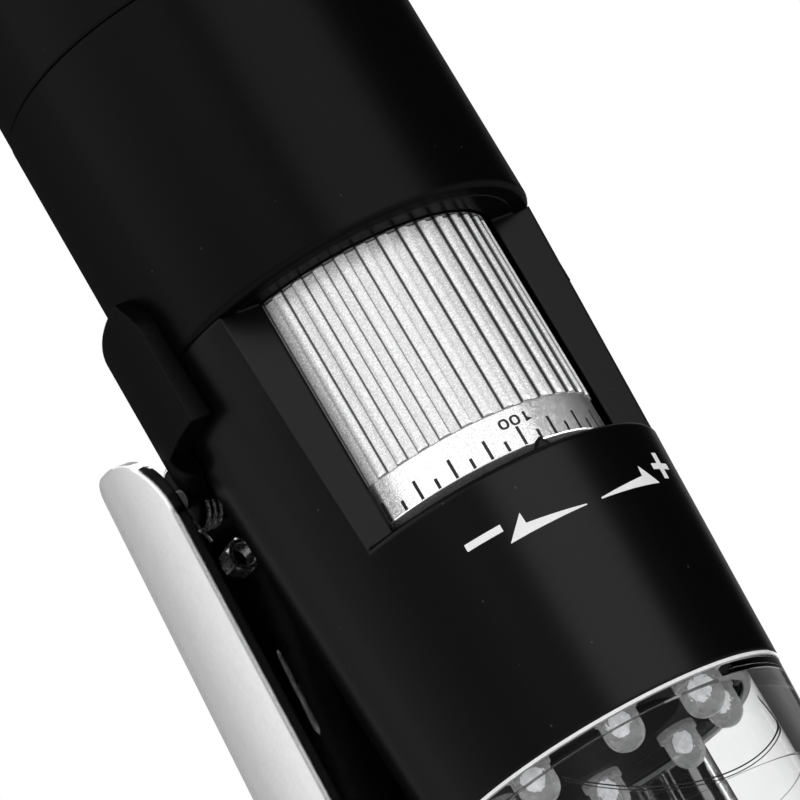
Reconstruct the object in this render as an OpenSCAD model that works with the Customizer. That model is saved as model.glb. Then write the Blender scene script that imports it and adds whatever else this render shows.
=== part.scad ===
// Hand-held USB digital microscope with a fluted focus dial and a fold-out stand leg.
// Nose down on z = 0, front with the dial's window towards -Y.

/* [Upper tube] */
// Outer diameter of the upper tube
tube_d = 33; // [32:0.1:36]
// Length of the upper tube
tube_len = 24.3; // [23:0.1:32]
// Wall of the upper tube
tube_wall = 1.5; // [1:0.1:1.8]
// Rounding of the tube's lower rim
rim_round = 0.5; // [0.2:0.1:0.9]

/* [Lower body] */
// Length of the lower body, from the nose to the upper tube
body_len = 41; // [40:0.1:50]
// Diameter of the lower body at the nose
body_bottom_d = 29.4; // [28.6:0.1:31]
// Step from the upper tube's radius down to the lower body's
body_step = 0.1; // [0.05:0.05:0.4]
// Wall of the lower body at the nose
body_wall = 2.2; // [1.8:0.1:2.4]
// Height of the window that shows the dial
window_h = 21; // [19:0.1:22]
// Distance of the window's flat from the axis
window_flat = 7.1; // [6:0.1:9]
// Rounding of the rim under the window
shoulder_round = 0.6; // [0.2:0.1:1]
// Length of the spigot that enters the upper tube
spigot_len = 7.5; // [6.5:0.1:9]

/* [Top cap] */
// Length of the top cap above the upper tube
cap_len = 24; // [18:0.5:32]
// Radius of the cap's rounded shoulder
cap_round = 8; // [4:0.5:10]
// Wall of the top cap
cap_wall = 1.8; // [1.2:0.1:2.4]
// Length of the cap's spigot inside the upper tube
cap_spigot_len = 6; // [3:0.5:7]
// Diameter of the cable's hole in the gland
cable_d = 3.8; // [3:0.1:5]
// Diameter of the gland's flange
gland_d = 9; // [8:0.1:11]

/* [Clear nose] */
// Length of the clear nose
nose_len = 18; // [14:0.5:24]
// Outer diameter at the tip
nose_tip_d = 27.4; // [26.4:0.1:29]
// Diameter of the straight bore
nose_bore_d = 24.4; // [23.4:0.1:25]
// Step outwards to the wider mouth, on the radius
mouth_step = 0.2; // [0.1:0.05:0.3]
// Thickness of the shoulder that carries the spigot
nose_shoulder = 0.8; // [0.6:0.1:1.2]
// Length of the spigot in the lower body
nose_spigot_len = 1; // [0.8:0.1:1.5]

/* [Lamps] */
// Number of lamps
lamp_count = 8; // [6:1:10]
// Diameter of a lamp
lamp_d = 3; // [2.4:0.1:3.2]
// Height of a lamp under its board
lamp_h = 3.4; // [3:0.1:4.5]
// Radius of the ring of lamps
lamp_ring_r = 9.6; // [9:0.1:9.8]
// Thickness of the circuit boards
board_t = 1; // [0.8:0.1:1.2]

/* [Focus dial] */
// Diameter over the dial's ribs
dial_d = 25.3; // [25:0.1:26.4]
// Number of ribs
rib_count = 42; // [36:1:48]
// Width of a rib
rib_w = 0.85; // [0.6:0.05:1.1]
// Angle of the first rib to the front
rib_turn = -4.4; // [-8:0.1:8]
// Depth of the grooves between the ribs
groove_depth = 0.3; // [0.2:0.05:0.5]
// Height of the plain scale band
scale_h = 3.9; // [3:0.1:5]
// Step from the rib tops down to the scale band
scale_step = 0.2; // [0.1:0.05:0.4]
// Chamfer of the dial's lower edge
dial_chamfer = 0.55; // [0.3:0.05:0.8]
// Height of the collar above the ribs
dial_collar_h = 2.6; // [2.2:0.1:3]
// Length of the dial's threaded hub
hub_len = 14; // [10:0.5:16]

/* [Lens carriage] */
// Outer diameter of the carriage
carriage_d = 17.8; // [16.8:0.1:18]
// Wall of the carriage
carriage_wall = 1.3; // [1:0.1:1.6]
// Length of the carriage
carriage_len = 30.5; // [28:0.5:31.5]
// Travel of the carriage each way from rest
focus_travel = 5; // [3:0.1:5]
// Diameter of a guide rod
rod_d = 1.8; // [1.4:0.1:2]

/* [Capture button] */
// Diameter of the button
button_d = 5.4; // [4.4:0.1:5.6]
// How far the button stands proud
button_proud = 0.5; // [0.2:0.1:1]
// Travel of the button
button_travel = 0.7; // [0.4:0.1:0.8]

/* [Stand] */
// Thickness of the saddle that carries the leg
saddle_t = 1.85; // [1.6:0.05:2.4]
// Height of the saddle's wide part
saddle_wide_h = 12.1; // [11:0.1:13]
// Height of the saddle's narrow lower part
saddle_low_h = 1.9; // [1.6:0.1:2.6]
// Diameter of the hinge lugs
lug_d = 5.2; // [4.4:0.1:5.6]
// Diameter of the hinge pins
pin_d = 1.6; // [1.4:0.1:1.8]
// Length of the leg below its hinge
leg_len = 50.7; // [44:0.1:51.5]
// Wall of the leg's channel
leg_wall = 1.2; // [1:0.1:1.6]
// Depth of the channel behind its hinge
leg_rear = 10.3; // [9.5:0.1:11]
// Rounding of the channel's rear corners
leg_corner = 8; // [5:0.5:9]
// Angle of the folded leg to the body
leg_rest = 6; // [5:0.5:10]

/* [Fits] */
// Gap of a close fit, on the radius
fit = 0.05; // [0.03:0.01:0.08]
// Gap of a running fit, on the radius
running = 0.07; // [0.03:0.01:0.09]
// Gap between pieces that move past each other
free = 0.3; // [0.25:0.01:0.35]

/* [Hidden] */
$fn = 96;
eps = 0.01;
wide = 100;

tube_r = tube_d / 2;
bore_r = tube_r - tube_wall;
spigot_r = bore_r - fit;
z_body = nose_len;
z_tube = z_body + body_len;
z_win = z_tube - window_h;
z_cap = z_tube + tube_len;
z_top = z_cap + cap_len;
z_spigot = z_tube + spigot_len;

body_top_r = tube_r - body_step;
body_bot_r = body_bottom_d / 2;
chamber_r = body_bot_r - body_wall;
function body_r(z) = body_bot_r + (body_top_r - body_bot_r) * (z - z_body) / body_len;

// The seam under the cap, and the cap's own radius
seam = 0.15;
cap_r = tube_r - fit;
gland_lip = 1.2;
gland_neck_r = gland_d / 2 - gland_lip;
gland_rim = 1;
gland_round = 0.6;

// Nose, lamps on the board above it, and the clear length that its mouth keeps under them
nose_step = 0.1;
nose_lip = 0.4;
nose_spigot_w = 1.1;
z_lamps = z_body + nose_spigot_len;
lamp_guard = 5.6;
lamp_foot = 0.2;
lamp_foot_h = 0.6;
lamp_board_gap = 0.15;

// Dial, from the ledge under the window upwards
rib_r = dial_d / 2;
band_r = rib_r - scale_step;
dial_gap = free + 2 * fit;
chamber_dial_r = rib_r + dial_gap;
ledge_t = 1.6;
z_ledge = z_win - ledge_t;
washer_t = 0.4;
washer_w = 1.1;
z_dial = z_win + washer_t + free;
z_ribs = z_dial + scale_h;
collar_show = 0.1;
z_collar = z_tube - collar_show;
z_dial_top = z_collar + dial_collar_h;
collar_lip = 0.15;
collar_r = rib_r + collar_lip;
retainer_t = 1.2;
z_retainer = z_dial_top + free;
hub_r = carriage_d / 2 + running;
guide_bore_r = carriage_d / 2 + free + 2 * fit;
guide_wall = 1.2;
guide_r = guide_bore_r + guide_wall;
guide_h = 4;
z_hub = z_win + guide_h + free;
pointer_h = 1.15;
pointer_half = 0.95;
pointer_t = 0.8;

// Lens carriage and its rods
carriage_r = carriage_d / 2;
lens_bore_r = carriage_r - carriage_wall;
z_holder = z_lamps + board_t;
holder_t = 2;
rod_r = rod_d / 2;
rod_seat = 1;
rod_edge = 0.6;
rod_x = chamber_r - rod_r - rod_edge;
lug_h = 3;
lug_guard = 1;
z_lug = z_holder + holder_t + focus_travel + lug_guard;
carriage_guard = 0.5;
z_carriage = z_holder + focus_travel + carriage_guard;
lens_stop_t = 1.5;
lens_h = 2.4;
lens_sag = 1.6;
lens_stop_w = 2.5;
lens_ring_w = 1.6;
lens_ring_h = 1.3;
arm_side = 1;
lens_setback = 4;
z_stop = z_carriage + lens_setback;

// Boards in the upper tube
z_sensor_top = z_spigot + board_t;
baffle_h = 3.6;
baffle_r = 6.6;
baffle_wall = 1.4;
sensor_side = 6.4;
sensor_h = 1;
chip_side = 7;
chip_h = 0.9;
crystal = [2.4, 6, 1.2];
plug = [8, 3, 3.2];
chip_gap = 1.1;
board_screw_len = 5;
board_screw_head_r = 1.25;
board_screw_head_h = 0.9;
post_r = 1.5;
post_inset = 4.5;
post_ring_r = bore_r - post_inset;
screw_r = 0.7;
switch_h = 6.2;
switch_w = 6;
switch_y = 6;
switch_d = 4.5;
button_rise = 3.6;
z_button = z_sensor_top + button_rise;
button_r = button_d / 2;
flange_w = 0.6;
flange_t = 1.1;
stem_len = 1.1;
stem_step = 0.3;
switch_floor = 1.5;
flange_r = button_r + flange_w;
flange_y = sqrt(pow(bore_r, 2) - pow(flange_r, 2)) - free;
plunger_r = 1.5;
z_main = z_button + flange_r + free;
stem_y = flange_y - flange_t - stem_len;

// Stand: the hinge's axis runs along X behind the body
saddle_r = tube_r + saddle_t;
saddle_drop = 7;
z_saddle_low = z_tube - saddle_drop;
z_saddle_mid = z_saddle_low + saddle_low_h;
z_saddle_top = z_saddle_mid + saddle_wide_h;
saddle_front_y = -1.8;
saddle_front_round = 4;
saddle_low_y = 5.1;
saddle_round = 1.7;
lug_r = lug_d / 2;
pin_r = pin_d / 2;
hinge_in = 2;
hinge_y = tube_r - hinge_in;
hinge_rise = 1.7;
hinge_z = z_saddle_low + hinge_rise;
ear_tuck = 0.7;
ear_gap = 2.8;
ear_in = tube_r - ear_tuck;
lug_end = ear_in - ear_gap;
lug_len = 8;
pin_hold = 4;
leg_half = ear_in + leg_wall;
pin_skin = 0.4;
pin_seat = leg_wall - pin_skin;
leg_front = 5.1;
leg_top = 4.6;
ear_round = 7;
ear_rear = 7.2;
ear_back_round = 4.3;
leg_flare = 2.4;
notch_drop = 0.2;
notch_side = 2.8;
notch_half = leg_half - notch_side;
pad_h = 3.5;
pad_proud = 0.6;
screw_head_r = 1.3;
screw_z = z_retainer + retainer_t + screw_head_r + free;
screw_turn = 28;
screw_head_h = 0.8;
screw_skin = 0.8;

// Ring between two radii, from z0 to z1
module ring(outer, inner, z0, z1) {
    translate([0, 0, z0]) difference() {
        cylinder(r = outer, h = z1 - z0);
        translate([0, 0, -eps]) cylinder(r = inner, h = z1 - z0 + 2 * eps);
    }
}

// What a rounding takes off a corner at (x, y); dx and dy point into the material
module corner_cut(x, y, r, dx, dy) {
    difference() {
        translate([x - (dx > 0 ? eps : r), y - (dy > 0 ? eps : r)]) square(r + eps);
        translate([x + dx * r, y + dy * r]) circle(r);
    }
}

// Cylinder along +Y
module bar_y(r, y0, y1, z) {
    translate([0, y0, z]) rotate([-90, 0, 0]) cylinder(r = r, h = y1 - y0);
}

// Cylinder along X on the hinge's axis, from x0 to x1
module bar_hinge(r, x0, x1) {
    translate([x0, hinge_y, hinge_z]) rotate([0, 90, 0]) cylinder(r = r, h = x1 - x0);
}

// The saddle's two screw axes, as radial cylinders from r0 to r1
module saddle_bars(r, r0, r1) {
    for (side = [-1, 1])
        translate([0, 0, screw_z]) rotate([0, 0, 90 + side * screw_turn])
            translate([r0, 0, 0]) rotate([0, 90, 0]) cylinder(r = r, h = r1 - r0);
}

// Where the three board posts stand
module at_posts() {
    for (turn = [-90, 30, 150]) rotate([0, 0, turn]) translate([post_ring_r, 0, 0]) children();
}

// Where the two guide rods stand
module at_rods() {
    for (side = [-1, 1]) translate([side * rod_x, 0, 0]) children();
}

module top_cap() {
    color("#1b1b1c") difference() {
        rotate_extrude() difference() {
            union() {
                translate([0, z_cap + seam]) square([cap_r, cap_len - seam]);
                translate([0, z_cap - cap_spigot_len]) square([spigot_r, cap_spigot_len + 1]);
            }
            corner_cut(cap_r, z_top, cap_round, -1, -1);
            // hollow inside, with the same rounded shoulder
            difference() {
                translate([0, z_cap - cap_spigot_len - eps])
                    square([spigot_r - cap_wall, cap_len + cap_spigot_len - cap_wall + eps]);
                corner_cut(spigot_r - cap_wall, z_top - cap_wall, cap_round - cap_wall, -1, -1);
            }
        }
        translate([0, 0, z_top - cap_wall - 1]) cylinder(r = gland_neck_r + fit, h = cap_wall + 2);
    }
}

module cable_gland() {
    hole_r = cable_d / 2;
    rim_w = gland_d / 2 - hole_r;
    color("#101010") rotate_extrude() difference() {
        union() {
            translate([hole_r, z_top - cap_wall - gland_rim]) square([rim_w, gland_rim]);
            translate([hole_r, z_top - cap_wall - gland_rim])
                square([gland_neck_r - hole_r, cap_wall + 2 * gland_rim]);
            translate([hole_r, z_top]) square([rim_w, gland_rim]);
        }
        corner_cut(gland_d / 2, z_top + gland_rim, gland_round, -1, -1);
    }
}

module upper_tube() {
    color("#1b1b1c") difference() {
        rotate_extrude() difference() {
            translate([bore_r, z_tube]) square([tube_wall, tube_len]);
            corner_cut(tube_r, z_tube, rim_round, -1, 1);
        }
        bar_y(button_r + free / 2, bore_r - 2, tube_r + 1, z_button);
        saddle_bars(screw_r + fit, bore_r - 2, tube_r + 1);
    }
}

module lower_body() {
    color("#1b1b1c") {
        difference() {
            union() {
                translate([0, 0, z_body]) cylinder(r1 = body_bot_r, r2 = body_top_r, h = body_len);
                translate([0, 0, z_tube - 1]) cylinder(r = spigot_r, h = spigot_len + 1);
            }
            translate([0, 0, z_win]) cylinder(r = chamber_dial_r, h = wide);
            translate([0, 0, z_body - eps]) cylinder(r = chamber_r, h = z_ledge - z_body + eps);
            translate([0, 0, z_ledge - eps]) cylinder(r = guide_bore_r, h = ledge_t + 2 * eps);
            // the window: a flat across the front, with a rounded rim under it
            translate([-wide / 2, -window_flat - wide, z_win]) cube([wide, wide, window_h]);
            intersection() {
                rotate_extrude() corner_cut(body_r(z_win), z_win, shoulder_round, -1, -1);
                translate([-wide / 2, -window_flat - wide, z_win - 2]) cube([wide, wide, 4]);
            }
            translate([0, 0, z_ledge - eps]) at_rods() cylinder(r = rod_r + fit / 2, h = rod_seat);
            saddle_bars(screw_r + fit, chamber_dial_r - 2, tube_r + 1);
        }
        ring(guide_r, guide_bore_r, z_win, z_win + guide_h);
        // pointer tooth beside the dial's scale
        translate([0, -chamber_dial_r - pointer_t, z_win]) rotate([-90, 0, 0])
            linear_extrude(pointer_t) polygon([[-pointer_half, 0], [pointer_half, 0], [0, -pointer_h]]);
    }
}

module clear_nose() {
    tip_r = nose_tip_d / 2;
    mouth_len = z_lamps - lamp_h - lamp_guard;
    top_r = body_bot_r - nose_step;
    color("#e8eef0", 0.4) rotate_extrude() difference() {
        union() {
            polygon([[0, 0], [tip_r, 0], [tip_r, nose_lip], [top_r, nose_len], [0, nose_len]]);
            translate([0, nose_len - 1]) square([chamber_r - fit, nose_spigot_len + 1]);
        }
        translate([-1, -eps]) square([nose_bore_d / 2 + 1, nose_len - nose_shoulder + eps]);
        translate([-1, -eps]) square([nose_bore_d / 2 + mouth_step + 1, mouth_len + eps]);
        translate([-1, 0]) square([chamber_r - nose_spigot_w + 1, nose_len + nose_spigot_len + 1]);
        corner_cut(tip_r, 0, nose_lip, -1, 1);
    }
}

module led_board() {
    color("#202022") ring(chamber_r - lamp_board_gap, lamp_ring_r - lamp_d, z_lamps, z_lamps + board_t);
}

module leds() {
    r = lamp_d / 2;
    color("#f4f6ea", 0.8)
        for (i = [0 : lamp_count - 1])
            rotate([0, 0, (i + 0.5) * 360 / lamp_count]) translate([lamp_ring_r, 0, 0]) {
                translate([0, 0, z_lamps - lamp_h + r]) cylinder(r = r, h = lamp_h - r);
                translate([0, 0, z_lamps - lamp_foot_h]) cylinder(r = r + lamp_foot, h = lamp_foot_h);
                intersection() {
                    translate([0, 0, z_lamps - lamp_h + r]) sphere(r);
                    translate([0, 0, z_lamps - lamp_h - 1]) cylinder(r = lamp_d, h = r + 1 + eps);
                }
            }
}

module rod_holder() {
    color("#2a2a2c") difference() {
        ring(chamber_r - fit, guide_bore_r + free, z_holder, z_holder + holder_t);
        translate([0, 0, z_holder + holder_t - rod_seat]) at_rods() cylinder(r = rod_r + fit / 2, h = 3);
    }
}

module guide_rods() {
    z0 = z_holder + holder_t - rod_seat;
    z1 = z_ledge + rod_seat - 2 * eps;
    color("#c8ccd0") at_rods() translate([0, 0, z0]) cylinder(r = rod_r, h = z1 - z0);
}

module lens_carriage() {
    arm_w = rod_d + 2 * arm_side;
    color("#2c2c2e") difference() {
        union() {
            translate([0, 0, z_carriage]) cylinder(r = carriage_r, h = carriage_len);
            intersection() {
                translate([-wide / 2, -arm_w / 2, z_lug]) cube([wide, arm_w, lug_h]);
                translate([0, 0, z_lug]) cylinder(r = chamber_r - free, h = lug_h);
            }
        }
        translate([0, 0, z_carriage - eps]) cylinder(r = lens_bore_r, h = z_stop - z_carriage + eps);
        translate([0, 0, z_stop - 1]) cylinder(r = lens_bore_r - lens_stop_w, h = lens_stop_t + 2);
        translate([0, 0, z_stop + lens_stop_t]) cylinder(r = lens_bore_r, h = carriage_len);
        translate([0, 0, z_lug - 1]) at_rods() cylinder(r = rod_r + fit, h = lug_h + 2);
    }
}

// Lens with a flat face at z = 0 and a domed face below it
module lens(r, h) {
    dome_r = (r * r + lens_sag * lens_sag) / (2 * lens_sag);
    rim = h - lens_sag;
    translate([0, 0, -rim]) cylinder(r = r, h = rim);
    intersection() {
        translate([0, 0, dome_r - h]) sphere(dome_r);
        translate([0, 0, -h - 1]) cylinder(r = r, h = lens_sag + 1 + eps);
    }
}

module front_lens() {
    color("#cfe0e8", 0.5) translate([0, 0, z_stop]) lens(lens_bore_r - fit, lens_h);
}

module rear_lens() {
    color("#cfe0e8", 0.5) translate([0, 0, z_stop + lens_stop_t])
        mirror([0, 0, 1]) lens(lens_bore_r - fit, lens_h);
}

module lens_ring() {
    z1 = z_stop - lens_h - 2 * fit;
    color("#1a1a1a") ring(lens_bore_r - fit, lens_bore_r - lens_ring_w, z1 - lens_ring_h, z1);
}

module focus_dial() {
    color("#d5d7d9") difference() {
        union() {
            rotate_extrude() difference() {
                translate([0, z_dial]) square([band_r, z_ribs + 1 - z_dial]);
                polygon([[band_r - dial_chamfer, z_dial - eps], [band_r + 1, z_dial - eps],
                    [band_r + 1, z_dial + dial_chamfer], [band_r, z_dial + dial_chamfer]]);
            }
            translate([0, 0, z_ribs]) linear_extrude(z_collar - z_ribs) {
                circle(rib_r - groove_depth);
                intersection() {
                    circle(rib_r);
                    for (i = [0 : rib_count - 1])
                        rotate(i * 360 / rib_count + rib_turn - 90)
                            translate([rib_r - 2 * groove_depth, -rib_w / 2])
                                square([3 * groove_depth, rib_w]);
                }
            }
            translate([0, 0, z_collar]) cylinder(r = collar_r, h = dial_collar_h);
        }
        translate([0, 0, z_dial - eps]) cylinder(r = guide_r + running, h = z_hub - z_dial + eps);
        translate([0, 0, z_dial - 1]) cylinder(r = hub_r, h = wide);
        translate([0, 0, z_hub + hub_len]) cylinder(r = guide_r, h = wide);
    }
}

module dial_washer() {
    color("#3a3a3c") ring(guide_r + fit + washer_w, guide_r + fit, z_win, z_win + washer_t);
}

module dial_retainer() {
    color("#2a2a2c") ring(chamber_dial_r - fit, guide_bore_r + free, z_retainer, z_retainer + retainer_t);
}

module sensor_board() {
    color("#1f5a3a") translate([0, 0, z_spigot]) cylinder(r = bore_r - free, h = board_t);
}

module image_sensor() {
    color("#303438") translate([-sensor_side / 2, -sensor_side / 2, z_spigot - sensor_h])
        cube([sensor_side, sensor_side, sensor_h]);
}

module light_baffle() {
    color("#151515") ring(baffle_r, baffle_r - baffle_wall, z_spigot - baffle_h, z_spigot);
}

module board_posts() {
    color("#c9a24a") at_posts() ring(post_r, screw_r + fit, z_sensor_top, z_main);
}

module main_board() {
    color("#1f5a3a") difference() {
        translate([0, 0, z_main]) cylinder(r = spigot_r - cap_wall - free, h = board_t);
        translate([0, 0, z_main - 1]) at_posts() cylinder(r = screw_r + fit, h = board_t + 2);
    }
}

module board_chips() {
    z1 = z_main + board_t;
    color("#202226") {
        translate([-chip_side / 2, -chip_side / 2, z1]) cube([chip_side, chip_side, chip_h]);
        translate([chip_side / 2 + chip_gap, -crystal[1] / 2, z1]) cube(crystal);
        translate([-plug[0] / 2, chip_side / 2 + chip_gap, z1]) cube(plug);
    }
}

module board_screws() {
    z1 = z_main + board_t;
    color("#b9bcc0") at_posts() {
        translate([0, 0, z1]) cylinder(r = board_screw_head_r, h = board_screw_head_h);
        translate([0, 0, z1 - board_screw_len]) cylinder(r = screw_r, h = board_screw_len + eps);
    }
}

module tact_switch() {
    color("#26282b") difference() {
        translate([-switch_w / 2, switch_y, z_sensor_top]) cube([switch_w, switch_d, switch_h]);
        bar_y(plunger_r + fit, switch_y + switch_floor, switch_y + switch_d + 1, z_button);
    }
}

module switch_plunger() {
    color("#d8d4c8") bar_y(plunger_r, switch_y + switch_floor + button_travel + free, stem_y, z_button);
}

module capture_button() {
    color("#242425") {
        bar_y(button_r, flange_y - eps, tube_r + button_proud, z_button);
        bar_y(flange_r, flange_y - flange_t, flange_y, z_button);
        bar_y(plunger_r - stem_step, stem_y, flange_y - flange_t + eps, z_button);
    }
}

// Side of the saddle's wide part, with its upper front corner rounded
module saddle_side() {
    difference() {
        translate([saddle_front_y, z_saddle_mid]) square(wide);
        corner_cut(saddle_front_y, z_saddle_top, saddle_front_round, 1, -1);
    }
}

module stand_saddle() {
    color("#1b1b1c") difference() {
        union() {
            intersection() {
                rotate_extrude() difference() {
                    translate([0, z_saddle_low]) square([saddle_r, z_saddle_top - z_saddle_low]);
                    corner_cut(saddle_r, z_saddle_top, saddle_round, -1, -1);
                    corner_cut(saddle_r, z_saddle_low, saddle_round, -1, 1);
                }
                union() {
                    rotate([90, 0, 90]) linear_extrude(wide, center = true) saddle_side();
                    translate([-wide / 2, saddle_low_y, z_saddle_low - 1]) cube([wide, wide, wide]);
                }
            }
            for (side = [0, 1]) mirror([side, 0, 0]) bar_hinge(lug_r, lug_end - lug_len, lug_end);
        }
        translate([0, 0, z_tube - eps]) cylinder(r = tube_r + fit, h = wide);
        translate([0, 0, z_body])
            cylinder(r1 = body_bot_r + fit + body_step, r2 = body_top_r + fit + body_step, h = body_len);
        for (side = [0, 1]) mirror([side, 0, 0]) bar_hinge(pin_r + fit / 2, lug_end - pin_hold, lug_end + 1);
        saddle_bars(screw_r + fit, tube_r - 2, saddle_r - screw_skin);
    }
}

module saddle_screws() {
    head_r1 = sqrt(pow(chamber_dial_r, 2) - pow(screw_head_r, 2)) - fit;
    head_r0 = head_r1 - screw_head_h;
    color("#b9bcc0") {
        saddle_bars(screw_head_r, head_r0, head_r1);
        saddle_bars(screw_r, head_r1 - eps, saddle_r - screw_skin - 2 * fit);
    }
}

module hinge_pins() {
    color("#c8ccd0") for (side = [0, 1]) mirror([side, 0, 0])
        bar_hinge(pin_r, lug_end - pin_hold + eps, ear_in + pin_seat - fit);
}

// Plan of the leg's channel, drawn in by inset; the rear is +Y, the front is open
module leg_plan(inset) {
    half = leg_half - inset;
    rear = leg_rear - inset;
    r = leg_corner - inset;
    translate([-half, -wide]) square([2 * half, wide + rear - r]);
    translate([-(half - r), -wide]) square([2 * (half - r), wide + rear]);
    for (side = [-1, 1]) translate([side * (half - r), rear - r]) circle(r);
}

// Side of the leg: a rounded ear at the hinge, flaring to the foot
module leg_side() {
    difference() {
        polygon([[-leg_front, leg_top], [ear_rear, leg_top], [ear_rear, -notch_drop],
            [leg_rear + 1, -notch_drop], [leg_rear + 1, -leg_len],
            [-leg_front - leg_flare, -leg_len], [-leg_front, leg_top - ear_round]]);
        corner_cut(-leg_front, leg_top, ear_round, 1, -1);
        corner_cut(ear_rear, leg_top, ear_back_round, -1, -1);
    }
}

// Puts a piece drawn about the hinge's axis at its folded angle
module at_leg() {
    translate([0, hinge_y, hinge_z]) rotate([leg_rest, 0, 0]) children();
}

module stand_leg() {
    color("#d9dcdf") difference() {
        at_leg() difference() {
            intersection() {
                translate([0, 0, -leg_len - 1]) linear_extrude(leg_len + leg_top + 2) difference() {
                    leg_plan(0);
                    leg_plan(leg_wall);
                }
                rotate([90, 0, 90]) linear_extrude(2 * leg_half + 2, center = true) leg_side();
            }
            // the back stops below the hinge, so that the leg can swing out past the saddle
            translate([-notch_half, 0, -notch_drop]) cube([2 * notch_half, wide, wide]);
        }
        for (side = [0, 1]) mirror([side, 0, 0]) bar_hinge(pin_r + fit, ear_in - 1, ear_in + pin_seat);
    }
}

module foot_pad() {
    color("#161616") at_leg() intersection() {
        translate([0, 0, -leg_len - pad_proud]) linear_extrude(pad_h + pad_proud) leg_plan(leg_wall + fit);
        translate([-wide / 2, -leg_front, -wide]) cube([wide, wide, wide]);
    }
}

top_cap();
cable_gland();
upper_tube();
lower_body();
clear_nose();
led_board();
leds();
rod_holder();
guide_rods();
lens_carriage();
front_lens();
rear_lens();
lens_ring();
focus_dial();
dial_washer();
dial_retainer();
sensor_board();
image_sensor();
light_baffle();
board_posts();
main_board();
board_chips();
board_screws();
tact_switch();
switch_plunger();
capture_button();
stand_saddle();
saddle_screws();
hinge_pins();
stand_leg();
foot_pad();
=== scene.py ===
import bpy
import numpy as np
from mathutils import Matrix, Vector


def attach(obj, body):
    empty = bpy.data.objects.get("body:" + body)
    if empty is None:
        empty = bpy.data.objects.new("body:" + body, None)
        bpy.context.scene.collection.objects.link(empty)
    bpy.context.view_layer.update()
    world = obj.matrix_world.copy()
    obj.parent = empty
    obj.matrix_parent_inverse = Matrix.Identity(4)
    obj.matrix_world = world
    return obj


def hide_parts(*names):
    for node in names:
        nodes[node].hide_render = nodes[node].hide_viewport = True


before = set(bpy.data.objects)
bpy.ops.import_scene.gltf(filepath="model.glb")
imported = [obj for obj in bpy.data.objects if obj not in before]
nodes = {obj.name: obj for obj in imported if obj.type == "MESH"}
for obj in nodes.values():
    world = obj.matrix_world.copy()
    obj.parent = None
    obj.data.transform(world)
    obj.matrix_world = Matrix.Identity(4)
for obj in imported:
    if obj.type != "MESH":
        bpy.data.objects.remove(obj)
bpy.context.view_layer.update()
scene = bpy.context.scene
mm = 0.001
print("frame loaded,", len(nodes), "nodes")

# camera: stands at the front left and a little below, rolled so that the top leans left
view = {
    "azimuth": -32.5, "elevation": -15.5, "roll": 30.54,
    "target": (-0.08, 0.0, 50.22), "distance": 365.73,
    "lens": 213.25, "sensor": 36.0, "clip": (0.01, 50.0),
}


# the direction at an azimuth from the front and an elevation, both in degrees
def direction(az, el):
    az, el = np.radians([az, el])
    return np.array([np.cos(el) * np.sin(az), -np.cos(el) * np.cos(az), np.sin(el)])


# the side and up axes are those of a level camera at this azimuth and elevation, turned by the roll
def placeCamera(v):
    az, roll = np.radians([v["azimuth"], v["roll"]])
    back = direction(v["azimuth"], v["elevation"])
    side = np.array([np.cos(az), np.sin(az), 0.0])
    up = np.cross(back, side)
    x = np.cos(roll) * side - np.sin(roll) * up
    y = np.sin(roll) * side + np.cos(roll) * up
    at = (np.array(v["target"]) + v["distance"] * back) * mm
    data = bpy.data.cameras.new("camera")
    data.lens, data.sensor_width = v["lens"], v["sensor"]
    data.clip_start, data.clip_end = v["clip"]
    cam = bpy.data.objects.new("camera", data)
    scene.collection.objects.link(cam)
    cam.matrix_world = Matrix([[x[i], y[i], back[i], at[i]] for i in range(3)] + [[0, 0, 0, 1]])
    scene.camera = cam


placeCamera(view)
scene.view_settings.view_transform = "Standard"
print("camera placed")


# a node with its settings; an input is either a value or the socket that feeds it
def addNode(tree, kind, inputs=None, **settings):
    n = tree.nodes.new(kind)
    for key, value in settings.items():
        setattr(n, key, value)
    for key, value in (inputs or {}).items():
        if isinstance(value, bpy.types.NodeSocket):
            tree.links.new(value, n.inputs[key])
        else:
            n.inputs[key].default_value = value
    return n


def calc(tree, operation, a, b):
    return addNode(tree, "ShaderNodeMath", {0: a, 1: b}, operation=operation).outputs[0]


def remap(tree, value, low, high, toLow=0.0, toHigh=1.0, **settings):
    ends = {0: value, 1: low, 2: high, 3: toLow, 4: toHigh}
    return addNode(tree, "ShaderNodeMapRange", ends, **settings).outputs[0]


def blend(tree, share, first, second):
    return addNode(tree, "ShaderNodeMix", {0: share, 6: first, 7: second}, data_type="RGBA").outputs[2]


def noise(tree, place, scale, detail):
    ways = {"Vector": place, "Scale": scale, "Detail": detail}
    return addNode(tree, "ShaderNodeTexNoise", ways).outputs[0]


# a cell pattern: the distance to the cell's middle, and the channels of the cell's own colour
def cells(tree, place, scale):
    cell = addNode(tree, "ShaderNodeTexVoronoi", {"Vector": place, "Scale": scale}).outputs
    return cell["Distance"], addNode(tree, "ShaderNodeSeparateColor", {0: cell["Color"]}).outputs


def attribute(tree, name):
    return addNode(tree, "ShaderNodeAttribute", attribute_name=name).outputs["Fac"]


def addBump(tree, height, strength, distance, normal):
    ways = {"Strength": strength, "Distance": distance, "Height": height}
    return addNode(tree, "ShaderNodeBump", {**ways, "Normal": normal} if normal else ways).outputs[0]


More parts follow.
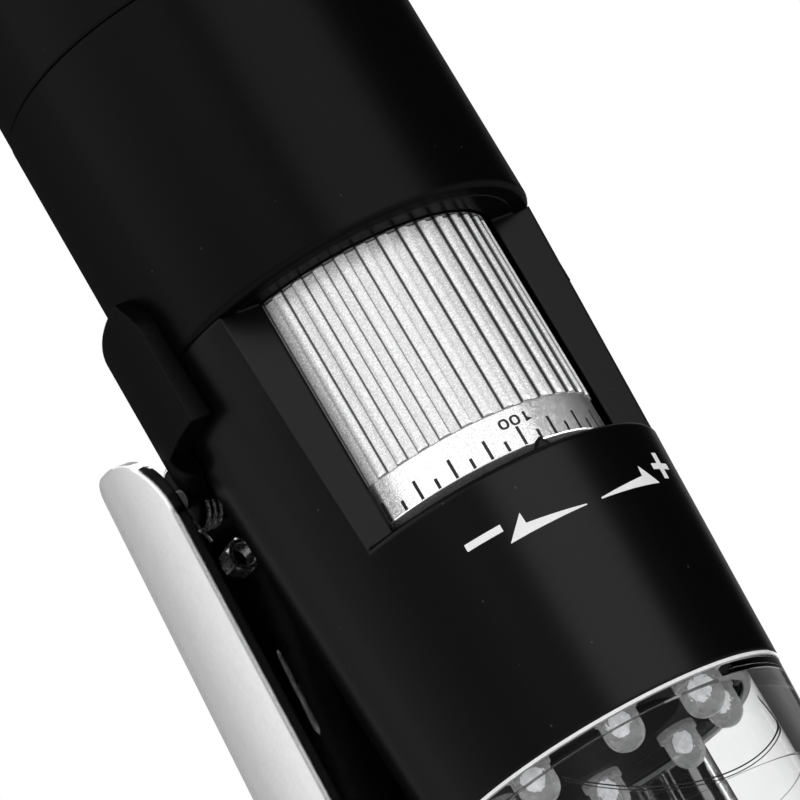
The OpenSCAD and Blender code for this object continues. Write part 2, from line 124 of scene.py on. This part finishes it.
# a texture group: a place, a scale and what else it is given go in, one value comes out
def newGroup(name, *more):
    tree = bpy.data.node_groups.new(name, "ShaderNodeTree")
    tree.interface.new_socket("Vector", in_out="INPUT", socket_type="NodeSocketVector")
    for label in ("Scale", *more):
        tree.interface.new_socket(label, in_out="INPUT", socket_type="NodeSocketFloat")
    tree.interface.new_socket("Value", in_out="OUTPUT", socket_type="NodeSocketFloat")
    return tree, tree.nodes.new("NodeGroupInput").outputs, tree.nodes.new("NodeGroupOutput").inputs["Value"]


def useGroup(tree, group, place, scale, **more):
    ways = {"Vector": place, "Scale": scale, **more}
    return addNode(tree, "ShaderNodeGroup", ways, node_tree=group).outputs["Value"]


texture = {
    "finer": 3.1,  # how much finer the grain's second noise is
    "dot": (0.06, 0.16),  # a dust dot's core and rim, as a share of its cell
    "smudge": (0.42, 0.68), "spread": (0.35, 0.65),  # the spans of noise that smudges and grain are drawn from
    "edgeSamples": 6,
}

# fine grain: two noises, the second three times finer, mixed half and half
grainGroup, given, result = newGroup("fineGrain")
coarse = noise(grainGroup, given["Vector"], given["Scale"], 2.0)
fine = noise(grainGroup, given["Vector"], calc(grainGroup, "MULTIPLY", given["Scale"], texture["finer"]), 1.0)
grainGroup.links.new(calc(grainGroup, "MULTIPLY", calc(grainGroup, "ADD", coarse, fine), 0.5), result)

# dust: one small dot in a share of the cells of a cell pattern
dustGroup, given, result = newGroup("dustSpecks", "Share")
away, own = cells(dustGroup, given["Vector"], given["Scale"])
dot = remap(dustGroup, away, *texture["dot"], 1.0, 0.0)
kept = calc(dustGroup, "LESS_THAN", own[0], given["Share"])
dustGroup.links.new(calc(dustGroup, "MULTIPLY", dot, kept), result)

# smudges: a soft low noise pushed apart, for uneven gloss
smudgeGroup, given, result = newGroup("handSmudges")
cloud = noise(smudgeGroup, given["Vector"], given["Scale"], 3.0)
smudgeGroup.links.new(remap(smudgeGroup, cloud, *texture["smudge"]), result)

# flakes: a cell pattern whose cells have their own brightness
flakeGroup, given, result = newGroup("metalFlakes")
flakeGroup.links.new(cells(flakeGroup, given["Vector"], given["Scale"])[1][1], result)


# a finish: grain, dust, smudges and flakes on object coordinates feed colour, roughness and bump; the dial's
# own attributes carry the painted shade darkened into its rib flanks and collar and how satin its metal is,
# edge is the radius by which sharp edges are rounded in the shading, and crown is a broad low swell across a
# flat wall
def makeFinish(name, f):
    mat = bpy.data.materials.new(name)
    mat.use_nodes = True
    tree = mat.node_tree
    shader = tree.nodes["Principled BSDF"]
    for socket, value in f.get("shader", {}).items():
        shader.inputs[socket].default_value = value
    place = addNode(tree, "ShaderNodeTexCoord").outputs["Object"]
    grain = useGroup(tree, grainGroup, place, f["grain"])
    spread = remap(tree, grain, *texture["spread"])
    tint = useGroup(tree, flakeGroup, place, f["flakes"]) if "flakes" in f else spread
    low, high = f["colours"]
    colour = blend(tree, tint, (*low, 1), (*high, 1))
    if "dust" in f:
        scale, share, pale = f["dust"]
        dusty = useGroup(tree, dustGroup, place, scale, Share=share)
        colour = blend(tree, dusty, colour, (*pale, 1))
    # painted shade: the dial's rib flanks and collar are darkened towards the crease colour by its own
    # attribute
    if "creaseShade" in f:
        colour = blend(tree, attribute(tree, "creaseShade"), colour, (*f["creaseShade"], 1))
    tree.links.new(colour, shader.inputs["Base Color"])
    gloss = useGroup(tree, smudgeGroup, place, f["smudges"]) if "smudges" in f else spread
    rough = remap(tree, gloss, 0.0, 1.0, *f["roughness"])
    if "satin" in f:
        # the blasted ribs scatter more light than the turned band
        turned, ribbed, polish = f["satin"]
        blasted = attribute(tree, "satin")
        tree.links.new(remap(tree, blasted, 0.0, 1.0, turned, ribbed), shader.inputs["Metallic"])
        rough = calc(tree, "MULTIPLY", rough, remap(tree, blasted, 0.0, 1.0, polish, 1.0))
    tree.links.new(rough, shader.inputs["Roughness"])
    normal = None
    if "edge" in f:
        normal = addNode(tree, "ShaderNodeBevel", {"Radius": f["edge"] * mm},
                         samples=texture["edgeSamples"]).outputs[0]
    if "crown" in f:
        # the height falls off with the square of the way along one direction
        way, middle, bend = f["crown"]
        along = addNode(tree, "ShaderNodeVectorMath", {0: place, 1: way}, operation="DOT_PRODUCT")
        square = calc(tree, "POWER", calc(tree, "SUBTRACT", along.outputs["Value"], middle), 2.0)
        normal = addBump(tree, calc(tree, "MULTIPLY", square, -bend / 2), 1.0, 1.0, normal)
    if "bump" in f:
        normal = addBump(tree, grain, f["bump"], f["relief"] * mm, normal)
    if normal:
        tree.links.new(normal, shader.inputs["Normal"])
        tree.links.new(normal, shader.inputs["Coat Normal"])
    return mat


finishes = {
    "soft_black": {
        "colours": ((0.0012, 0.0012, 0.0013), (0.0024, 0.0024, 0.0024)), "roughness": (0.5, 0.58),
        "grain": 5200.0, "bump": 0.12, "relief": 0.02, "dust": (1500.0, 0.012, (0.03, 0.03, 0.03)),
        "edge": 0.35, "shader": {
            "Specular IOR Level": 0.0, "Coat Weight": 0.038, "Coat IOR": 2.4, "Coat Roughness": 0.3}},
    "bodyBlack": {
        "colours": ((0.001, 0.001, 0.0011), (0.002, 0.002, 0.002)), "roughness": (0.36, 0.42),
        "grain": 5200.0, "bump": 0.1, "relief": 0.02, "dust": (1500.0, 0.016, (0.04, 0.04, 0.04)),
        "edge": 0.35, "shader": {
            "Specular IOR Level": 0.0, "Coat Weight": 0.083, "Coat IOR": 2.4, "Coat Roughness": 0.27}},
    "dial_silver": {
        "colours": ((0.68, 0.68, 0.685), (1.0, 1.0, 1.0)), "roughness": (0.2, 0.32),
        # the crease colour is painted shade for the dial's rib flanks and collar
        "grain": 6500.0, "flakes": 9000.0, "bump": 0.3, "relief": 0.02, "creaseShade": (0.035, 0.035, 0.035),
        "satin": (0.9, 0.36, 0.75)},  # metal of the band and of the ribs, roughness of the band to the ribs
    "bright_chrome": {
        "colours": ((0.83, 0.83, 0.835), (0.87, 0.87, 0.87)), "roughness": (0.03, 0.07),
        "grain": 900.0, "edge": 0.55, "crown": ((0.0, 0.9945, 0.1045), 0.0184, 30.0),
        "shader": {"Metallic": 1.0}},
    "clear_plastic": {
        "colours": ((0.97, 0.975, 0.975), (0.99, 0.99, 0.99)), "roughness": (0.0, 0.02),
        "grain": 500.0, "smudges": 110.0, "shader": {"Transmission Weight": 1.0, "IOR": 1.4}},
    "lamp_epoxy": {
        "colours": ((0.5, 0.51, 0.51), (0.98, 0.98, 0.98)), "roughness": (0.04, 0.1),
        "grain": 700.0, "bump": 0.6, "relief": 0.5, "shader": {
            "Transmission Weight": 0.75, "IOR": 1.45,
            "Emission Color": (1.0, 1.0, 1.0, 1.0), "Emission Strength": 0.06}},
    "black_board": {
        "colours": ((0.002, 0.002, 0.002), (0.005, 0.005, 0.005)), "roughness": (0.5, 0.62),
        "grain": 2600.0, "bump": 0.1, "relief": 0.02, "shader": {"Specular IOR Level": 0.03}},
    "green_board": {
        "colours": ((0.008, 0.06, 0.025), (0.014, 0.1, 0.04)), "roughness": (0.3, 0.42),
        "grain": 2600.0, "bump": 0.1, "relief": 0.02},
    "inner_black": {
        "colours": ((0.005, 0.005, 0.005), (0.01, 0.01, 0.01)), "roughness": (0.5, 0.62),
        "grain": 4200.0, "bump": 0.2, "relief": 0.02, "shader": {"Specular IOR Level": 0.12}},
    "steel": {
        "colours": ((0.5, 0.5, 0.51), (0.62, 0.62, 0.63)), "roughness": (0.2, 0.34),
        "grain": 3600.0, "bump": 0.1, "relief": 0.01, "shader": {"Metallic": 1.0}},
    "pinSteel": {
        "colours": ((0.62, 0.62, 0.63), (0.74, 0.74, 0.74)), "roughness": (0.42, 0.55),
        "grain": 3600.0, "bump": 0.1, "relief": 0.01, "shader": {"Metallic": 0.7}},
    "lampCore": {
        "colours": ((0.93, 0.93, 0.92), (0.99, 0.99, 0.98)), "roughness": (0.3, 0.45),
        "grain": 2600.0, "bump": 0.1, "relief": 0.01,
        "shader": {"Emission Color": (0.95, 0.96, 1.0, 1.0), "Emission Strength": 0.5}},
    "brass": {
        "colours": ((0.62, 0.43, 0.17), (0.74, 0.54, 0.24)), "roughness": (0.22, 0.34),
        "grain": 3200.0, "bump": 0.1, "relief": 0.01, "shader": {"Metallic": 1.0}},
    "lens_glass": {
        "colours": ((0.97, 0.985, 0.99), (0.99, 0.99, 0.99)), "roughness": (0.0, 0.01),
        "grain": 300.0, "shader": {"Transmission Weight": 1.0, "IOR": 1.52}},
    "soft_rubber": {
        "colours": ((0.012, 0.012, 0.012), (0.022, 0.022, 0.022)), "roughness": (0.6, 0.75),
        "grain": 3600.0, "bump": 0.3, "relief": 0.03, "dust": (600.0, 0.05, (0.05, 0.05, 0.05))},
    "pale_plastic": {
        "colours": ((0.66, 0.66, 0.65), (0.76, 0.76, 0.75)), "roughness": (0.4, 0.52),
        "grain": 3600.0, "bump": 0.1, "relief": 0.02},
    "markPaint": {
        "colours": ((0.82, 0.82, 0.82), (0.94, 0.94, 0.94)), "roughness": (0.45, 0.6),
        "grain": 6500.0, "bump": 0.15, "relief": 0.01},
    # painted highlight: the pale colour of the nose rim stands in for its edge catching light
    "rimHighlight": {
        "colours": ((0.86, 0.87, 0.87), (0.95, 0.95, 0.95)), "roughness": (0.2, 0.32),
        "grain": 2600.0, "bump": 0.1, "relief": 0.01},
    # printed ink of the ticks and the number, and the painted dark refraction lines of the nose's arched edge
    "inkAndPaintedEdge": {
        "colours": ((0.012, 0.012, 0.013), (0.03, 0.03, 0.03)), "roughness": (0.4, 0.55),
        "grain": 6500.0, "bump": 0.15, "relief": 0.01, "shader": {"Specular IOR Level": 0.25}},
}
madeOf = {name: makeFinish(name + "Finish", f) for name, f in finishes.items()}
ownFinish = {"lower_body": "bodyBlack", "hinge_pins": "pinSteel"}  # nodes that differ from their slot's finish
for name, obj in nodes.items():
    slotName = obj.material_slots[0].material.name.split(".")[0]
    obj.material_slots[0].material = madeOf[ownFinish.get(name, slotName)]
print("finishes made,", len(madeOf))

sharpFrom = 28.0  # degrees between two faces from which their edge stays sharp


# a piece made of closed skins, each over a grid of points: rows wrap round where ring is set, columns always
# wrap, and open rows are closed by a flat end; faces are turned outwards by the sign of the volume
def skin(name, sheets, finish, body):
    verts, faces, base = [], [], 0
    for points, ring in sheets:
        rows, cols = points.shape[:2]
        index = np.arange(rows * cols).reshape(rows, cols)
        a = index if ring else index[:-1]
        b = np.roll(index, -1, 0) if ring else index[1:]
        quads = np.stack([a, np.roll(a, -1, 1), np.roll(b, -1, 1), b], -1).reshape(-1, 4)
        flat = points.reshape(-1, 3)
        p = flat[quads]
        spans = np.cross(p[:, 1], p[:, 2]) + np.cross(p[:, 2], p[:, 3])
        volume = np.einsum("ij,ij->i", p[:, 0], spans).sum()
        turned = -1 if volume < 0 else 1
        faces += (quads[:, ::turned] + base).tolist()
        if not ring:
            faces += [(end[::turned] + base).tolist() for end in (index[0, ::-1], index[-1])]
        verts.append(flat)
        base += len(flat)
    mesh = bpy.data.meshes.new(name)
    mesh.from_pydata((np.concatenate(verts) * mm).tolist(), [], faces)
    mesh.shade_smooth()
    mesh.set_sharp_from_angle(angle=np.radians(sharpFrom))
    mesh.materials.append(madeOf[finish])
    obj = bpy.data.objects.new(name, mesh)
    scene.collection.objects.link(obj)
    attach(obj, body)
    return obj


# a point at an azimuth from the front, in degrees, a radius and a height
def around(az, r, z):
    az = np.radians(az)
    return np.stack(np.broadcast_arrays(r * np.sin(az), -r * np.cos(az), z), -1)


# dial: a lathe profile swept round the axis; where the profile says so, the radius adds the rib wave
dial = {
    "ribs": 42, "firstRib": -0.1, "ribHeight": 0.42, "ribShare": 0.5,
    "profile": [  # radius, height, share of the rib wave
        (10.57, 38.7, 0), (11.85, 38.7, 0), (11.95, 38.73, 0), (12.41, 39.2, 0), (12.45, 39.3, 0),
        (12.45, 39.36, 0), (12.45, 42.45, 0), (12.45, 42.5, 0), (12.43, 42.57, 0), (12.23, 42.6, 0),
        (12.23, 42.605, 0.8), (12.23, 42.65, 0.96), (12.23, 42.75, 1), (12.23, 42.85, 1),
        (12.23, 58.8, 1), (12.23, 58.9, 1), (12.23, 58.905, 0),
        (12.8, 58.91, 0), (12.8, 61.42, 0), (12.72, 61.5, 0), (10.5, 61.5, 0),
        (10.5, 56.3, 0), (8.97, 56.3, 0), (8.97, 42.3, 0), (10.57, 42.3, 0)],
    "flank": [  # place from a rib's middle as a share of its half width, height there, darkness of the painted shade in the crease
        (0.0, 1.0, 0), (0.3, 0.968, 0), (0.5, 0.91, 0), (0.7, 0.824, 0), (0.82, 0.758, 0.05),
        (0.9, 0.7, 0.5), (0.96, 0.55, 0.9), (1.0, 0.36, 1), (1.05, 0.1, 1), (1.12, 0.02, 0.5), (1.22, 0.0, 0)],
    "shadedCollarFrom": 58.89,  # the collar over the ribs has painted shade all round, standing in for the shadow under the tube
}


# the points, with how dark the painted shade in the crease and how satin the metal is at each
def dialSurface(d):
    pitch = 360.0 / d["ribs"]
    place, height, dark = np.array(d["flank"]).T
    place = np.append(place * d["ribShare"] / 2, 0.5)
    height, dark = np.append(height, 0.0), np.append(dark, 0.0)
    across, wave, flankShade = (np.concatenate([k * c[:0:-1], c[:-1]])
                          for k, c in ((-1, place), (1, height), (1, dark)))
    az = (d["firstRib"] + pitch * (np.arange(d["ribs"])[:, None] + across[None])).ravel()
    wave, flankShade = np.tile(wave, d["ribs"]), np.tile(flankShade, d["ribs"])
    r, z, share = (np.array(c)[:, None] for c in zip(*d["profile"]))
    # painted shade: the collar is dark all round, and each rib flank as dark as the flank table says
    creaseShade = np.where(z > d["shadedCollarFrom"], 1.0, share * flankShade[None])
    return around(az[None], r + d["ribHeight"] * share * wave[None], z), creaseShade, share + 0 * creaseShade


dialPoints, dialCreaseShade, dialSatin = dialSurface(dial)
focusDial = skin("focusDial", [(dialPoints, True)], "dial_silver", "dial")
# the painted shade and the satin share go on the dial's points as attributes
for name, values in (("creaseShade", dialCreaseShade), ("satin", dialSatin)):
    focusDial.data.attributes.new(name, "FLOAT", "POINT").data.foreach_set("value", values.ravel())
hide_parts("focus_dial")
print("dial turned")

# paint on a curved wall: a strip between a lower and an upper edge over azimuth, carried along it as a
# thin closed band that stands a little proud of the wall and reaches a little into it
paint = {"proud": 0.012, "sunk": 0.03, "step": 0.6}


def paintStrip(az, low, high, wall):
    az, low, high = (np.asarray(c, float) for c in (az, low, high))
    more = np.unique(np.concatenate([az, np.arange(az[0], az[-1], paint["step"])]))
    lo, hi = np.interp(more, az, low), np.interp(more, az, high)
    up, down = paint["proud"], -paint["sunk"]
    corners = [(lo, up), (hi, up), (hi, down), (lo, down)]
    return np.stack([around(more, wall(z) + d, z) for z, d in corners], 1)


# ticks: one strip a tick, long and short in turn, all round the dial's lower band
ticks = {
    "count": 52, "first": -1.6, "width": 1.2,
    "low": 39.35, "long": 40.95, "short": 40.2, "radius": 12.45,
}


def bandWall(z):
    return ticks["radius"] + 0 * z


def tickStrips(t):
    pitch = 360.0 / t["count"]
    half = t["width"] / 2
    for k in range(t["count"]):
        az = t["first"] + pitch * k
        top = t["short"] if k % 2 else t["long"]
        yield paintStrip([az - half, az + half], [t["low"]] * 2, [top] * 2, bandWall), False


skin("scaleTicks", tickStrips(ticks), "inkAndPaintedEdge", "dial")

# number: two rounded rings and a barred stroke, upside down on the band
number = {
    "zeros": (-5.5, -0.8), "middle": 41.46, "halfWide": 0.44, "halfTall": 0.42, "side": 0.22, "cap": 0.16,
    "square": 2.5, "steps": 40,
    "one": ((3.3, 4.4, 4.401, 5.9), (41.02, 41.07, 41.07, 41.15), (41.87, 41.87, 41.36, 41.2)),
}


# a zero is the band between two superellipses, wrapped on the dial
def zeroRing(n, az0):
    t = np.linspace(0, 2 * np.pi, n["steps"], endpoint=False)
    wide, tall = (np.sign(c) * np.abs(c) ** (2 / n["square"]) for c in (np.cos(t), np.sin(t)))
    r, up, down = ticks["radius"], paint["proud"], -paint["sunk"]
    outer = n["halfWide"], n["halfTall"]
    inner = n["halfWide"] - n["side"], n["halfTall"] - n["cap"]
    section = [(outer, up), (inner, up), (inner, down), (outer, down)]
    return np.stack([around(az0 + np.degrees(w * wide / r), r + d, n["middle"] + h * tall)
                     for (w, h), d in section], 1)


skin("scaleNumber", [(paintStrip(*number["one"], bandWall), False)]
     + [(zeroRing(number, az), True) for az in number["zeros"]], "inkAndPaintedEdge", "dial")
print("scale printed")

# turn marks on the tapered body: minus, two arrows, plus, each as azimuths with a lower and an upper edge
marks = {
    "foot": (18.0, 14.7), "top": (59.0, 16.4),  # height and radius of the taper's ends
    "shapes": [
        ((-37.9, -26.6), (33.43, 33.43), (34.0, 34.0)),
        ((-26.5, -20.2, -20.0, -1.44), (32.34, 32.38, 32.38, 32.46), (32.38, 34.08, 33.18, 32.55)),
        ((3.8, 22.7, 23.1, 29.25), (32.46, 32.46, 32.46, 32.48), (32.58, 33.26, 34.1, 32.55)),
        ((30.4, 34.1, 34.15, 36.95, 37.0, 41.25), (33.65, 33.65, 32.83, 32.83, 33.65, 33.65),
         (34.15, 34.15, 35.05, 35.05, 34.15, 34.15))],
}


def taperWall(z):
    (z0, r0), (z1, r1) = marks["foot"], marks["top"]
    return r0 + (z - z0) * (r1 - r0) / (z1 - z0)


skin("turnMarks", [(paintStrip(*shape, taperWall), False) for shape in marks["shapes"]],
     "markPaint", "housing")
print("turn marks painted")

# pale ring where the clear nose meets the body, its brightness a painted highlight of the nose's edge catching
# light: a lathe profile swept round the axis
noseRimHighlight = {
    "profile": [(14.3, 17.98), (14.66, 17.98), (14.7, 17.9), (14.66, 17.72), (14.3, 17.66)],
    "steps": 192,
}
rimR, rimZ = (np.array(c)[:, None] for c in zip(*noseRimHighlight["profile"]))
rimAz = np.linspace(0, 360, noseRimHighlight["steps"], endpoint=False)[None]
skin("noseRimHighlight", [(around(rimAz, rimR, rimZ), True)], "rimHighlight", "housing")
print("nose rim laid")


# a round wire: a circle of the given radius carried along a path, square to it, with flat ends
def wire(path, radius, ref=(1.0, 0.0, 0.0), sides=12):
    way = np.gradient(path, axis=0)
    way /= np.linalg.norm(way, axis=1)[:, None]
    out = np.cross(way, ref)
    out /= np.linalg.norm(out, axis=1)[:, None]
    rise = np.cross(way, out)
    t = np.linspace(0, 2 * np.pi, sides, endpoint=False)[None, :, None]
    size = np.broadcast_to(radius, len(path))[:, None, None]
    return path[:, None] + size * (np.cos(t) * out[:, None] + np.sin(t) * rise[:, None])


# arched edge inside the clear nose: two fine dark lines, their darkness a painted refraction of the moulded
# edge, whose height grows with the square of the azimuth
arch = {
    "from": -50.0, "to": 54.0, "middle": 2.0, "low": 10.45, "bend": 0.0021, "radius": 12.1,
    "lines": ((0.0, 0.055), (-0.3, 0.04)),  # how far up, and the line's radius
    "steps": 80,
}
archAz = np.linspace(arch["from"], arch["to"], arch["steps"])
archZ = arch["low"] + arch["bend"] * (archAz - arch["middle"]) ** 2
# painted refraction: the arch lines take the dark ink finish
skin("noseArch", [(wire(around(archAz, arch["radius"], archZ + d), r, (0.0, 0.0, 1.0)), False)
                  for d, r in arch["lines"]], "inkAndPaintedEdge", "housing")

# bright core in each lamp: a small egg, its radius the root of a parabola along its height
core = {"count": 8, "ring": 9.6, "low": 16.9, "high": 18.6, "radius": 0.6, "tip": 0.004, "steps": 14}
eggRise = np.linspace(core["tip"], 1 - core["tip"], core["steps"])
eggR = core["radius"] * 2 * np.sqrt(eggRise * (1 - eggRise))
eggZ = core["low"] + (core["high"] - core["low"]) * eggRise
skin("lampCores", [(wire(around(az, core["ring"], eggZ), eggR), False)
                   for az in (np.arange(core["count"]) + 0.5) * 360 / core["count"]],
     "lampCore", "housing")
print("nose fitted")

# hinge spring: a coil round the saddle's lug and a leg that hooks round the pin and points down
spring = {
    "axis": (14.5, 53.7), "coilR": 2.83, "wireR": 0.2, "from": -12.75, "to": -11.0, "turns": 3.25,
    "coilSteps": 120, "hookX": -14.1, "hookR": 1.02, "hookTurn": (20.0, 180.0), "hookSteps": 24,
    "legEnd": (-13.3, 13.2, 49.2), "legR": 0.11, "legSteps": 12,
}


# points on a circle round the hinge's axis, which lies along x
def roundHinge(x, r, turn):
    y, z = spring["axis"]
    return np.stack(np.broadcast_arrays(x, y + r * np.cos(turn), z + r * np.sin(turn)), -1)


coil = roundHinge(np.linspace(spring["from"], spring["to"], spring["coilSteps"]), spring["coilR"],
                  np.linspace(0, 2 * np.pi * spring["turns"], spring["coilSteps"]))
hook = roundHinge(spring["hookX"], spring["hookR"],
                  np.radians(np.linspace(*spring["hookTurn"], spring["hookSteps"])))
drop = np.linspace(0, 1, spring["legSteps"])[1:, None]
hook = np.concatenate([hook, hook[-1] + drop * (np.array(spring["legEnd"]) - hook[-1])])
skin("hingeSpring", [(wire(coil, spring["wireR"]), False), (wire(hook, spring["legR"]), False)],
     "steel", "housing")

# nut on the inner face of the leg's web
nut = {
    "at": (-5.66, 24.02, 50.42), "corner": 1.55, "hole": 0.95, "height": 1.0,
    "bevel": 0.16, "lip": 0.1, "sunk": 0.05, "steps": 60,
    "side": (1.0, 0.0, 0.0), "out": (0.0, -0.9945, -0.1045),  # across the web, and square to it
}


# the rim of a hexagon: the radius at an angle is the apothem over the cosine of the angle to the nearest flat
def hexNut(n):
    t = np.linspace(0, 2 * np.pi, n["steps"], endpoint=False)
    apothem = n["corner"] * np.cos(np.pi / 6)
    edge = apothem / np.cos((t + np.pi / 6) % (np.pi / 3) - np.pi / 6)
    hole = np.full_like(t, n["hole"])
    top, foot = n["height"], -n["sunk"]
    section = [(edge, foot), (edge, top - n["bevel"]), (np.minimum(edge, apothem), top),
               (hole + n["lip"], top), (hole, top - n["lip"]), (hole, foot)]
    at, side, out = (np.array(n[k]) for k in ("at", "side", "out"))
    spoke = np.cos(t)[:, None] * side + np.sin(t)[:, None] * np.cross(out, side)
    return np.stack([at + r[:, None] * spoke + h * out for r, h in section], 1)


skin("hingeNut", [(hexNut(nut), True)], "steel", "leg")

# two beads down the inner face of the leg's web: wires that swell from a blunt tip in a few steps
beads = {
    "x": (-6.4, 6.4), "top": (24.9, 42.5), "foot": (25.68, 34.7), "radius": 0.24,
    "tip": 0.1, "swell": 3, "steps": 40,
}
beadStep = np.arange(beads["steps"])
beadR = beads["radius"] * np.clip(np.minimum(beadStep, beadStep[::-1]) / beads["swell"] + beads["tip"], 0, 1)
beadLine = [np.linspace(a, b, beads["steps"]) for a, b in zip(beads["top"], beads["foot"])]
skin("webBeads", [(wire(np.stack([np.full(beads["steps"], x), *beadLine], -1), beadR), False)
                  for x in beads["x"]], "bright_chrome", "leg")
print("hinge dressed")

# studio: a white room, soft panels round the part, three more that light the dial alone, and a pale floor that
# is clear from below
studio = {
    "front": 0.35, "frontFrom": 0.1, "frontTo": -0.3,  # how bright the room's front is, and where it begins
    "around": [  # what metal sees round the back, from the left side to the right side, and how bright
        (0.0, 0.3), (0.06, 0.6), (0.15, 0.97), (0.25, 0.78), (0.36, 0.55), (0.5, 0.5), (0.72, 0.42),
        (0.88, 0.12), (1.0, 0.03)],
    "floorSize": 3.0, "floorColour": (0.86, 0.86, 0.86), "floorRoughness": 0.9, "floorShine": 0.1,
    "aim": (0, 0, 0.05),  # what the panels face
    "panels": [  # azimuth, elevation, distance, width, height, watts, and which pieces it lights or leaves out
        ("frontPanel", 10.0, 18.0, 0.75, 0.78, 0.62, 2.7, "EXCLUDE", ("clear_nose", "focusDial")),
        ("leftPanel", -77.0, 39.0, 0.75, 1.3, 0.61, 2.5, "EXCLUDE", ("clear_nose", "focusDial")),
        ("rightPanel", 132.0, 14.0, 0.75, 0.25, 0.6, 1.1, "EXCLUDE", ("clear_nose",)),
        ("topPanel", 150.0, 70.0, 0.9, 0.9, 0.9, 2.6, "EXCLUDE", ("clear_nose",)),
        ("dialPanel", -13.0, 8.0, 0.75, 2.14, 0.5, 3.9, "INCLUDE", ("focusDial",)),
        ("dialRight", 62.0, 2.0, 0.6, 0.5, 0.09, 1.9, "INCLUDE", ("focusDial",)),
        ("dialLeft", -80.0, 2.0, 0.6, 0.5, 0.09, 0.7, "INCLUDE", ("focusDial",)),
    ],
}


# the room is plain white to the camera and straight through clear pieces; all else sees the ramp round the
# back, dimmed in front
def lightWorld(s):
    world = bpy.data.worlds.new("studioWorld")
    world.use_nodes = True
    tree = world.node_tree
    ground = tree.nodes["Background"]
    path = addNode(tree, "ShaderNodeLightPath").outputs
    way = addNode(tree, "ShaderNodeTexCoord").outputs["Generated"]
    parts = addNode(tree, "ShaderNodeSeparateXYZ", {0: way}).outputs
    ramp = addNode(tree, "ShaderNodeValToRGB", {0: remap(tree, parts["X"], -1.0, 1.0)})
    stops = ramp.color_ramp.elements
    while len(stops) < len(s["around"]):
        stops.new(0.5)
    for stop, (at, level) in zip(stops, s["around"]):
        stop.position, stop.color = at, (level, level, level, 1)
    ahead = remap(tree, parts["Y"], s["frontFrom"], s["frontTo"], 1.0, s["front"],
                  interpolation_type="SMOOTHSTEP")
    mirrored = calc(tree, "MULTIPLY", ramp.outputs[0], ahead)
    straight = calc(tree, "LESS_THAN", path["Glossy Depth"], 0.5)
    through = calc(tree, "MULTIPLY", path["Is Transmission Ray"], straight)
    seen = calc(tree, "MAXIMUM", path["Is Camera Ray"], through)
    white = addNode(tree, "ShaderNodeMix", {0: seen, 2: mirrored, 3: 1.0}).outputs[0]
    tree.links.new(white, ground.inputs["Color"])
    ground.inputs["Strength"].default_value = 1.0
    scene.world = world


def hangPanel(name, az, el, distance, width, height, watts, state, pieces):
    way = direction(az, el)
    data = bpy.data.lights.new(name, "AREA")
    data.shape, data.size, data.size_y, data.energy = "RECTANGLE", width, height, watts
    lamp = bpy.data.objects.new(name, data)
    scene.collection.objects.link(lamp)
    lamp.location = Vector(way * distance) + Vector(studio["aim"])
    lamp.rotation_euler = Vector(way).to_track_quat("Z", "Y").to_euler()
    # the clear nose takes no mirror image of the panels, which would veil what is behind it
    reach = bpy.data.collections.new(name + "Reach")
    for piece in pieces:
        reach.objects.link(nodes[piece] if piece in nodes else bpy.data.objects[piece])
    for link in reach.collection_objects:
        link.light_linking.link_state = state
    lamp.light_linking.receiver_collection = reach


def layFloor(s):
    half = s["floorSize"] / 2
    corners = [(-half, -half, 0), (half, -half, 0), (half, half, 0), (-half, half, 0)]
    mesh = bpy.data.meshes.new("paleFloor")
    mesh.from_pydata(corners, [], [(0, 1, 2, 3)])
    mat = bpy.data.materials.new("paleFloorFinish")
    mat.use_nodes = True
    tree = mat.node_tree
    shader = tree.nodes["Principled BSDF"]
    shader.inputs["Base Color"].default_value = (*s["floorColour"], 1)
    shader.inputs["Roughness"].default_value = s["floorRoughness"]
    shader.inputs["Specular IOR Level"].default_value = s["floorShine"]
    under = addNode(tree, "ShaderNodeNewGeometry").outputs["Backfacing"]
    clear = addNode(tree, "ShaderNodeBsdfTransparent").outputs[0]
    either = addNode(tree, "ShaderNodeMixShader", {0: under, 1: shader.outputs[0], 2: clear})
    tree.links.new(either.outputs[0], tree.nodes["Material Output"].inputs["Surface"])
    mesh.materials.append(mat)
    floor = bpy.data.objects.new("paleFloor", mesh)
    scene.collection.objects.link(floor)


lightWorld(studio)
for panel in studio["panels"]:
    hangPanel(*panel)
layFloor(studio)
print("studio lit")
